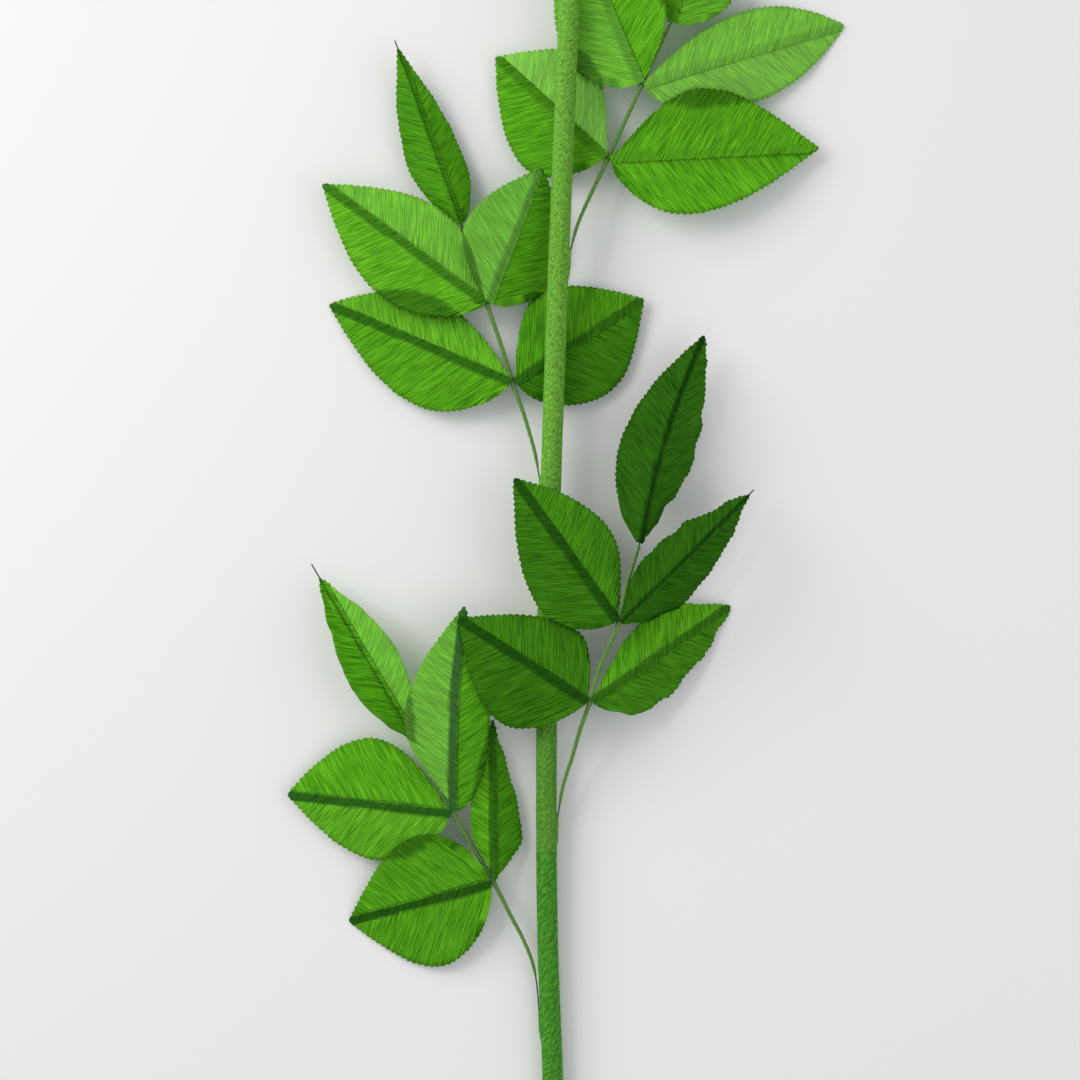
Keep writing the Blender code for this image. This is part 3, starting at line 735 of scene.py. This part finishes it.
def pinked_edge(own, leaf, paper, rng):
    """The cut edge of a half in flat blade coordinates: distances along the midrib and out from it."""
    s = np.linspace(0, leaf.length, 1500)
    w = half_width(own, s / leaf.length)
    run = np.concatenate([[0], np.cumsum(np.hypot(np.diff(s), np.diff(w)))])
    n = int(run[-1] / (paper.step / MM))
    d = np.linspace(0, run[-1], n)
    s, w = np.interp(d, run, s), np.interp(d, run, w)
    ds, dw = np.gradient(s), np.gradient(w)
    size = np.hypot(ds, dw)
    out_s, out_w = -dw / size, ds / size
    pitch = paper.tooth_pitch / MM
    drift = lattice(rng, d, d * 0, 30.0, 1.0) * 0.25
    phase = (d / pitch + drift + rng.uniform()) % 1.0
    tooth = (1 - 4 * np.abs(phase - 0.5)) * paper.tooth_depth / MM / 2
    tooth *= smooth(d, leaf.plain * run[-1] - 3, leaf.plain * run[-1] + 3) * smooth(run[-1] - d, 0.5, 4)
    corners = np.arange(0, run[-1] + EDGE_CORNERS, EDGE_CORNERS)
    slow = 0.65 * np.interp(d, corners, rng.uniform(-1, 1, len(corners)))
    slow += 0.35 * lattice(rng, d, d * 0, 6.0, 1.0)
    slow *= 1.4 * leaf.uneven[0 if own is leaf.left else 1] * smooth(d, 2, 12) * smooth(run[-1] - d, 1, 8)
    shift = tooth + slow
    return s + out_s * shift, w + out_w * shift


def covered(x, y, leaf, sprig):
    """How much the sprig's other leaflets lie over or under the points x, y: 1 inside their outlines. It sets
    the painted shade of the double layer.
    """
    most = np.zeros_like(x)
    for other in sprig.leaflets:
        if other is leaf:
            continue
        start = blade_start(other, sprig)
        ahead, left = heading_vectors(other)
        s = (x - start.x) * ahead[0] + (y - start.y) * ahead[1]
        w = (x - start.x) * left[0] + (y - start.y) * left[1]
        t = s / other.length
        w = w - other.bow * 4 * t * (1 - t)
        width = np.where(w > 0, half_width(other.left, t) * math.cos(math.radians(other.left.lift)),
                         half_width(other.right, t) * math.cos(math.radians(other.right.lift)))
        within = smooth(s, -0.5, 1.0) * smooth(other.length - s, -0.5, 1.0)
        most = np.maximum(most, within * smooth(width - np.abs(w), -0.5, 1.0))
    return most


def blade_half(leaf, start, side, height, paper, material, sprig, word, seed):
    """One creped half of a blade, meshed along its grain."""
    rng = np.random.default_rng(seed)
    own, other = (leaf.left, leaf.right) if side > 0 else (leaf.right, leaf.left)
    slant = 1 / math.tan(paper.grain_angle)
    edge_s, edge_w = pinked_edge(own, leaf, paper, rng)
    base = edge_s - slant * edge_w
    root_s = 0.5 * (base + np.sqrt(base**2 + 12.0))
    root_s = np.maximum.accumulate(root_s)
    root_s = (root_s - root_s[0]) / (root_s[-1] - root_s[0]) * (leaf.length - 0.3)
    inner = np.minimum(OVERLAP, half_width(other, root_s / leaf.length))
    in_s = np.clip(root_s - slant * inner, 0, None)
    in_s = np.maximum.accumulate(in_s + np.arange(len(in_s)) * 1e-4)
    before = np.linspace(0, 1, 4)[:-1]
    after = np.linspace(0, 1, 14) ** 1.15
    s = np.concatenate([in_s[:, None] + (root_s - in_s)[:, None] * before,
                        root_s[:, None] + (edge_s - root_s)[:, None] * after], 1)
    w = np.concatenate([-inner[:, None] * (1 - before), edge_w[:, None] * after], 1)
    rows, columns = s.shape

    reach = np.linspace(-12, 80, 1841)
    low, high = -math.radians(other.lift), math.radians(own.lift)
    tilt = low + (high - low) * smooth(reach, -3.0, 3.0)
    level = np.concatenate([[0], np.cumsum(np.cos(tilt[:-1]) * np.diff(reach))])
    climb = np.concatenate([[0], np.cumsum(np.sin(tilt[:-1]) * np.diff(reach))])
    level -= np.interp(0, reach, level)
    climb -= np.interp(0, reach, climb)
    x, z, a = (np.interp(w, reach, q) for q in (level, climb, tilt))

    u = np.hypot(s - s[:, :1], w - w[:, :1]) - 6.0
    v = np.repeat((root_s * math.sin(paper.grain_angle))[:, None], columns, 1)
    pitch = paper.grain_pitch / MM
    bent = v + 0.45 * lattice(rng, u, v, 11.0, 8.0) + 0.15 * lattice(rng, u, v, 5.0, 3.0)
    comb = np.sin(2 * np.pi * bent / pitch + 2.2 * lattice(rng, u, v, 10.0, 4.0))
    long = lattice(rng, u, bent, 14.0, pitch * 0.45)
    short = lattice(rng, u, bent, 6.0, pitch * 0.3)
    ridge = 0.5 * comb + 0.45 * long + 0.35 * short
    share = np.clip(w / np.maximum(edge_w[:, None], 1.0), 0, 1)
    t = s / leaf.length
    fade = smooth(t, 0.0, 0.15) * (1 - 0.5 * smooth(t, 0.85, 1.0))
    wave = leaf.wave * share**1.6 * fade * lattice(rng, s, w * 0, 15.0, 1.0)
    cup = -rng.uniform(0.6, 1.6) * share * (1 - share) * 4 * fade * (1 if own.lift > 0 else -0.6)
    ahead, left = heading_vectors(leaf)
    middle = midrib(leaf, start, t)
    lean = max(abs(own.lift), abs(other.lift))
    away = smooth(np.abs(w), 0.5, 5)
    raised = height / np.cos(np.radians(lean) * (1 - away) + np.abs(a) * away)
    normal = np.cos(a)[..., None] * np.array([0, 0, 1.0]) - (np.sin(a) * side)[..., None] * left
    surface = (middle + (x * side)[..., None] * left
               + np.array([0, 0, 1.0]) * (z + raised + wave + cup)[..., None])
    lift = 0.25 + ridge * paper.ridge / MM
    front = surface + normal * (lift + HALF_SHEET)[..., None]
    back = surface + normal * (lift - HALF_SHEET)[..., None]
    verts = np.concatenate([front.reshape(-1, 3), back.reshape(-1, 3)])
    uv = np.stack([u.ravel(), v.ravel()], 1) * MM
    uv = np.concatenate([uv, uv])

    def twice(q):
        return np.concatenate([q.ravel(), q.ravel()])

    # The glued band by the midrib, with ragged edges, is painted in shade: less light passes the double
    # layer.
    ragged = lattice(rng, s, np.sign(w), 6.0, 1.0) * 0.45 + lattice(rng, s, np.sign(w), 2.0, 1.0) * 0.25
    inset = np.abs(w) - OVERLAP * leaf.band - ragged
    band = (1 - smooth(inset, -0.8, 0.5)) * leaf.seam
    values = {
        # ridge also paints the crests lighter and the folds darker: painted highlight and shade.
        "ridge": twice(np.clip(0.5 + ridge * 0.95, 0, 1)),
        "seam": twice(band),
        "rim": twice(1 - smooth(edge_w[:, None] - w, 0.1, 1.0)),
        # painted shade where another leaflet lies over or under this half
        "double": twice(covered(surface[..., 0], surface[..., 1], leaf, sprig)),
        # tone of each half: the paper's own tone with painted shade or light
        "tone": np.full(2 * rows * columns, leaf.tone[0 if side > 0 else 1]),
    }
    name = f"{sprig.name}_{leaf.name}_{word}_paper"
    node = f"{sprig.name}_{leaf.name}_leaflet_{word}_half"
    return new_piece(name, verts, sheet_faces(rows, columns, side > 0), material, [node],
                     uv=uv, values=values)


def leaf_wire_points(leaf, start):
    """Middle line of the wire under one leaflet, from the blade's base outwards."""
    end = 1 + leaf.past_tip / leaf.length
    if end <= 1:
        return [Vector(p) for p in midrib(leaf, start, np.linspace(0, end, 24))]
    points = [Vector(p) for p in midrib(leaf, start, np.linspace(0, 1, 26))]
    ahead = (points[-1] - points[-2]).normalized()
    return points + [points[-1] + ahead * leaf.past_tip * k / 4 for k in (1, 2, 3, 4)]


# ---------------------------------------------------------------- stalks and stem


def stalk_line(sprig):
    """Middle line of the stalk's wire: the tail bound to the stem, then the route to the end leaflet."""
    out = Vector((sprig.side * TAIL_RADIUS, 0, 0))
    tail = [stem_at(sprig.mouth - TAIL * k) + out for k in (1.0, 0.62, 0.25)]
    coarse = through([tail[-1], *sprig.route], 2)
    blade = blade_start(sprig.leaflets[0], sprig)
    end = blade + (coarse[-2] - blade).normalized() * TAPE_SHORT
    fine = through([tail[-1], *sprig.route[:-1], end], 12)
    return tail, fine


def make_stalk_tape(sprig, material):
    """Paper tape wound round the stalk's wires in an overlapping spiral, with a knot at each joint."""
    tail, line = stalk_line(sprig)
    clear = WRAP_RADIUS + GAP + 1.4
    first = next(i for i, p in enumerate(line) if (p - stem_at(p.y)).length > clear + 0.4)
    path, run = even(line[first:], 0.6)
    share = run / run[-1]
    radius = 1.35 + 0.45 * np.sin(np.pi * share)
    radius *= 0.75 + 0.25 * smooth(run, 0, 9)
    for j in (sprig.lower_joint, sprig.upper_joint):
        near = np.linalg.norm(path - np.array(sprig.route[j]), axis=1)
        radius += (KNOT_RADIUS - radius) * (1 - smooth(near, KNOT_HALF_LENGTH - 0.3, KNOT_HALF_LENGTH + 1.6))
    radius[0], radius[-1] = radius[0] * 0.7, radius[-1] * 0.6

    def wound(d, a):
        phase = (d / TAPE_TURN + a / (2 * np.pi)) % 1.0
        return -0.16 * phase + 0.08 + 0.05 * np.sin(a * 3 + d * 0.9)

    return tube(f"{sprig.name}_stalk_winding", path, radius, 14, material, [f"{sprig.name}_stalk_tape"],
                wound, uv_turn=0.6)


def make_wires(sprig, material):
    """The stalk's wire with the end leaflet's midrib, and the two V-bent wires of the pairs."""
    ends = {leaf.name: leaf for leaf in sprig.leaflets}
    tail, stalk = stalk_line(sprig)
    end = ends["end"]
    whole = tail[:-1] + stalk + leaf_wire_points(end, blade_start(end, sprig))
    lines = [(f"{sprig.name}_stalk_wire", whole)]
    for level in ("lower", "upper"):
        one, two = ends[f"{level}_left"], ends[f"{level}_right"]
        a, b = blade_start(one, sprig), blade_start(two, sprig)
        corner = Vector(sprig.route[one.joint]) + Vector((0, 0, CROSSING_RISE))
        bend = [a * (1 - t) ** 2 + corner * 2 * t * (1 - t) + b * t * t for t in (0.2, 0.4, 0.6, 0.8)]
        line = list(reversed(leaf_wire_points(one, a))) + bend + leaf_wire_points(two, b)
        lines.append((f"{sprig.name}_{level}_pair_wire", line))
    for node, line in lines:
        path, run = even(line, 2.0)
        radius = np.full(len(path), WIRE_RADIUS)
        tube(node.replace("_wire", "_lacquered_wire"), path, radius, 8, material, [node])


def make_stem_wrap(name, node, low, high, material, seed):
    """A strip of crepe paper wound round the pipe, swollen where it covers the foot of a stalk."""
    rng = np.random.default_rng(seed)
    line = [stem_at(y) for y in np.linspace(low, high, 400)]
    path, run = even(line, 0.9)
    radius = np.full(len(path), WRAP_RADIUS - 0.25)
    if low == 0:
        radius[:3] = WRAP_RADIUS * np.array([0.93, 0.975, 0.985])
        radius[-2:] -= 0.25
    else:
        radius[-3:] = WRAP_RADIUS * np.array([0.985, 0.975, 0.93])
    y_of = path[:, 1]

    def creped(d, a):
        slanted = a * WRAP_RADIUS * 0.9 + d * 0.5
        across = d - a * WRAP_RADIUS * 0.45
        fine = lattice(rng, slanted, across, 5.0, 0.9) * 0.13
        folds = lattice(rng, slanted, across, 22.0, 5.0) * 0.1
        height = fine + folds
        y = np.interp(d, run, y_of)
        for sprig in SPRIGS:
            if not low < sprig.mouth < high:
                continue
            middle = math.pi / 2 if sprig.side > 0 else -math.pi / 2
            turn = (a - middle + np.pi) % (2 * np.pi) - np.pi
            reach = smooth(y, sprig.mouth - TAIL - 6, sprig.mouth - TAIL + 8) * (
                1 - smooth(y, sprig.mouth - 3, sprig.mouth + 1))
            height = height + 1.5 * reach * np.exp(-((turn * WRAP_RADIUS / 2.6) ** 2))
        return height

    # The wrap is painted darker towards its lower end.
    return tube(name, path, radius, WRAP_SIDES, material, [node], creped, uv_turn=1.0,
                tone=0.75 + 0.3 * smooth(y_of, 280, 640))


# ---------------------------------------------------------------- operators


class FLOWER_OT_leaflets(bpy.types.Operator):
    """Build the two creped halves of every leaflet"""

    bl_idname = "paper_flower.leaflets"
    bl_label = "Leaflets"

    def execute(self, context):
        paper = context.scene.flower_paper
        material = leaf_material(paper)
        seed = 11
        for sprig in SPRIGS:
            for leaf in sprig.leaflets:
                start = blade_start(leaf, sprig)
                for side, word, height in ((1, "left", UPPER_SHEET), (-1, "right", LOWER_SHEET)):
                    seed += 1
                    blade_half(leaf, start, side, height, paper, material, sprig, word, seed)
        return {"FINISHED"}


class FLOWER_OT_stem(bpy.types.Operator):
    """Build the stem's two strips of crepe wrap and finish the pipe inside them"""

    bl_idname = "paper_flower.stem"
    bl_label = "Stem wrap"

    def execute(self, context):
        stem = context.scene.flower_stem
        upper = wrap_material("stem crepe paper", stem.dark, stem.light, 800.0, 260.0, 0.8, 0.35)
        # The lower strip has deeper, darker greens than the upper one.
        deeper = Vector((0.6, 0.95, 0.5))
        dark, light = (tuple(Vector(c) * deeper) for c in (stem.dark, stem.light))
        lower = wrap_material("smooth stem paper", dark, light, 500.0, 160.0, 0.7, 0.1)
        length = STEM_CONTROLS[-1][1]
        make_stem_wrap("stem_lower_strip", "stem_wrap_lower", 0, WRAP_JOINT_Y + 0.6, lower, 401)
        make_stem_wrap("stem_upper_strip", "stem_wrap_upper", WRAP_JOINT_Y - 0.2, length, upper, 402)
        pipe = frame["nodes"]["stem_pipe"]
        for slot in pipe.material_slots:
            slot.material = plastic_material()
        return {"FINISHED"}


class FLOWER_OT_stalks(bpy.types.Operator):
    """Build the tape wound on the stalk of each sprig"""

    bl_idname = "paper_flower.stalks"
    bl_label = "Stalk tape"

    def execute(self, context):
        stem = context.scene.flower_stem
        # The tape's folds are painted in shade, at 0.55 of its green.
        dark = tuple(c * 0.55 for c in stem.tape)
        material = wrap_material("wound paper tape", dark, tuple(stem.tape), 900.0, 260.0, 0.7, 0.3)
        for sprig in SPRIGS:
            make_stalk_tape(sprig, material)
        return {"FINISHED"}


class FLOWER_OT_wires(bpy.types.Operator):
    """Build the wires under the leaflets and through the stalks"""

    bl_idname = "paper_flower.wires"
    bl_label = "Wires"

    def execute(self, context):
        material = wire_material(tuple(context.scene.flower_stem.wire))
        for sprig in SPRIGS:
            make_wires(sprig, material)
        return {"FINISHED"}


class FLOWER_OT_stage(bpy.types.Operator):
    """Lay out the floor, the lights and the camera"""

    bl_idname = "paper_flower.stage"
    bl_label = "Stage"

    def execute(self, context):
        stage = context.scene.flower_stage
        bpy.ops.mesh.primitive_plane_add(size=12.0, location=(0, 0, 0))
        floor = context.object
        floor.name = "floor"
        material, tree, shader = base_material("pale floor", 0.9)
        noise = tree.nodes.new("ShaderNodeTexNoise")
        noise.inputs["Scale"].default_value = 3.0
        warm = tuple(min(1.0, c * 1.02) for c in stage.floor)
        cool = tuple(c * 0.98 for c in stage.floor)
        tree.links.new(mix_colour(tree, noise.outputs["Fac"], cool, warm), shader.inputs["Base Color"])
        floor.data.materials.append(material)

        def area(name, place, aim, size, power, colour):
            light = bpy.data.lights.new(name, "AREA")
            light.shape = "RECTANGLE"
            light.size, light.size_y = size
            light.energy = power
            light.color = colour
            o = bpy.data.objects.new(name, light)
            o.location = place
            o.rotation_euler = (Vector(aim) - Vector(place)).to_track_quat("-Z", "Y").to_euler()
            context.scene.collection.objects.link(o)

        area("key", (-2.1, 1.3, 1.5), (0, 0, 0), (1.9, 1.9), stage.key, (1.0, 0.985, 0.96))
        area("fill", (1.8, -0.6, 1.6), (0, 0, 0), (1.8, 1.8), stage.fill, (0.95, 0.975, 1.0))
        world = bpy.data.worlds.new("soft room")
        world.use_nodes = True
        world.node_tree.nodes["Background"].inputs["Color"].default_value = (0.95, 0.97, 1.0, 1)
        world.node_tree.nodes["Background"].inputs["Strength"].default_value = 0.64
        context.scene.world = world
        context.scene.view_settings.view_transform = "Standard"

        camera = bpy.data.cameras.new("camera")
        distance = 2.2
        camera.sensor_width = 36.0
        camera.lens = 36.0 * distance / stage.view_width
        o = bpy.data.objects.new("camera", camera)
        middle = (FOOT + Vector((-10.7, 489.8, 0))) * MM
        o.location = (middle.x, middle.y, distance)
        context.scene.collection.objects.link(o)
        context.scene.camera = o
        return {"FINISHED"}


class FLOWER_PT_panel(bpy.types.Panel):
    """Lists the steps that build the flower"""

    bl_label = "Paper flower"
    bl_idname = "FLOWER_PT_panel"
    bl_space_type = "VIEW_3D"
    bl_region_type = "UI"
    bl_category = "Paper flower"

    def draw(self, context):
        for step in STEPS:
            self.layout.operator(step)
        for group in (context.scene.flower_paper, context.scene.flower_stem, context.scene.flower_stage):
            box = self.layout.box()
            for key in group.__annotations__:
                box.prop(group, key)


STEPS = ("paper_flower.leaflets", "paper_flower.stem", "paper_flower.stalks", "paper_flower.wires",
         "paper_flower.stage")
CLASSES = (FlowerPaperSettings, FlowerStemSettings, FlowerStageSettings, FLOWER_OT_leaflets, FLOWER_OT_stem,
           FLOWER_OT_stalks, FLOWER_OT_wires, FLOWER_OT_stage, FLOWER_PT_panel)


def register():
    for c in CLASSES:
        bpy.utils.register_class(c)
    bpy.types.Scene.flower_paper = PointerProperty(type=FlowerPaperSettings)
    bpy.types.Scene.flower_stem = PointerProperty(type=FlowerStemSettings)
    bpy.types.Scene.flower_stage = PointerProperty(type=FlowerStageSettings)


def unregister():
    del bpy.types.Scene.flower_paper
    del bpy.types.Scene.flower_stem
    del bpy.types.Scene.flower_stage
    for c in reversed(CLASSES):
        bpy.utils.unregister_class(c)


def main():
    register()
    bpy.ops.paper_flower.leaflets()
    bpy.ops.paper_flower.stem()
    bpy.ops.paper_flower.stalks()
    bpy.ops.paper_flower.wires()
    bpy.ops.paper_flower.stage()


if __name__ == "__main__":
    main()
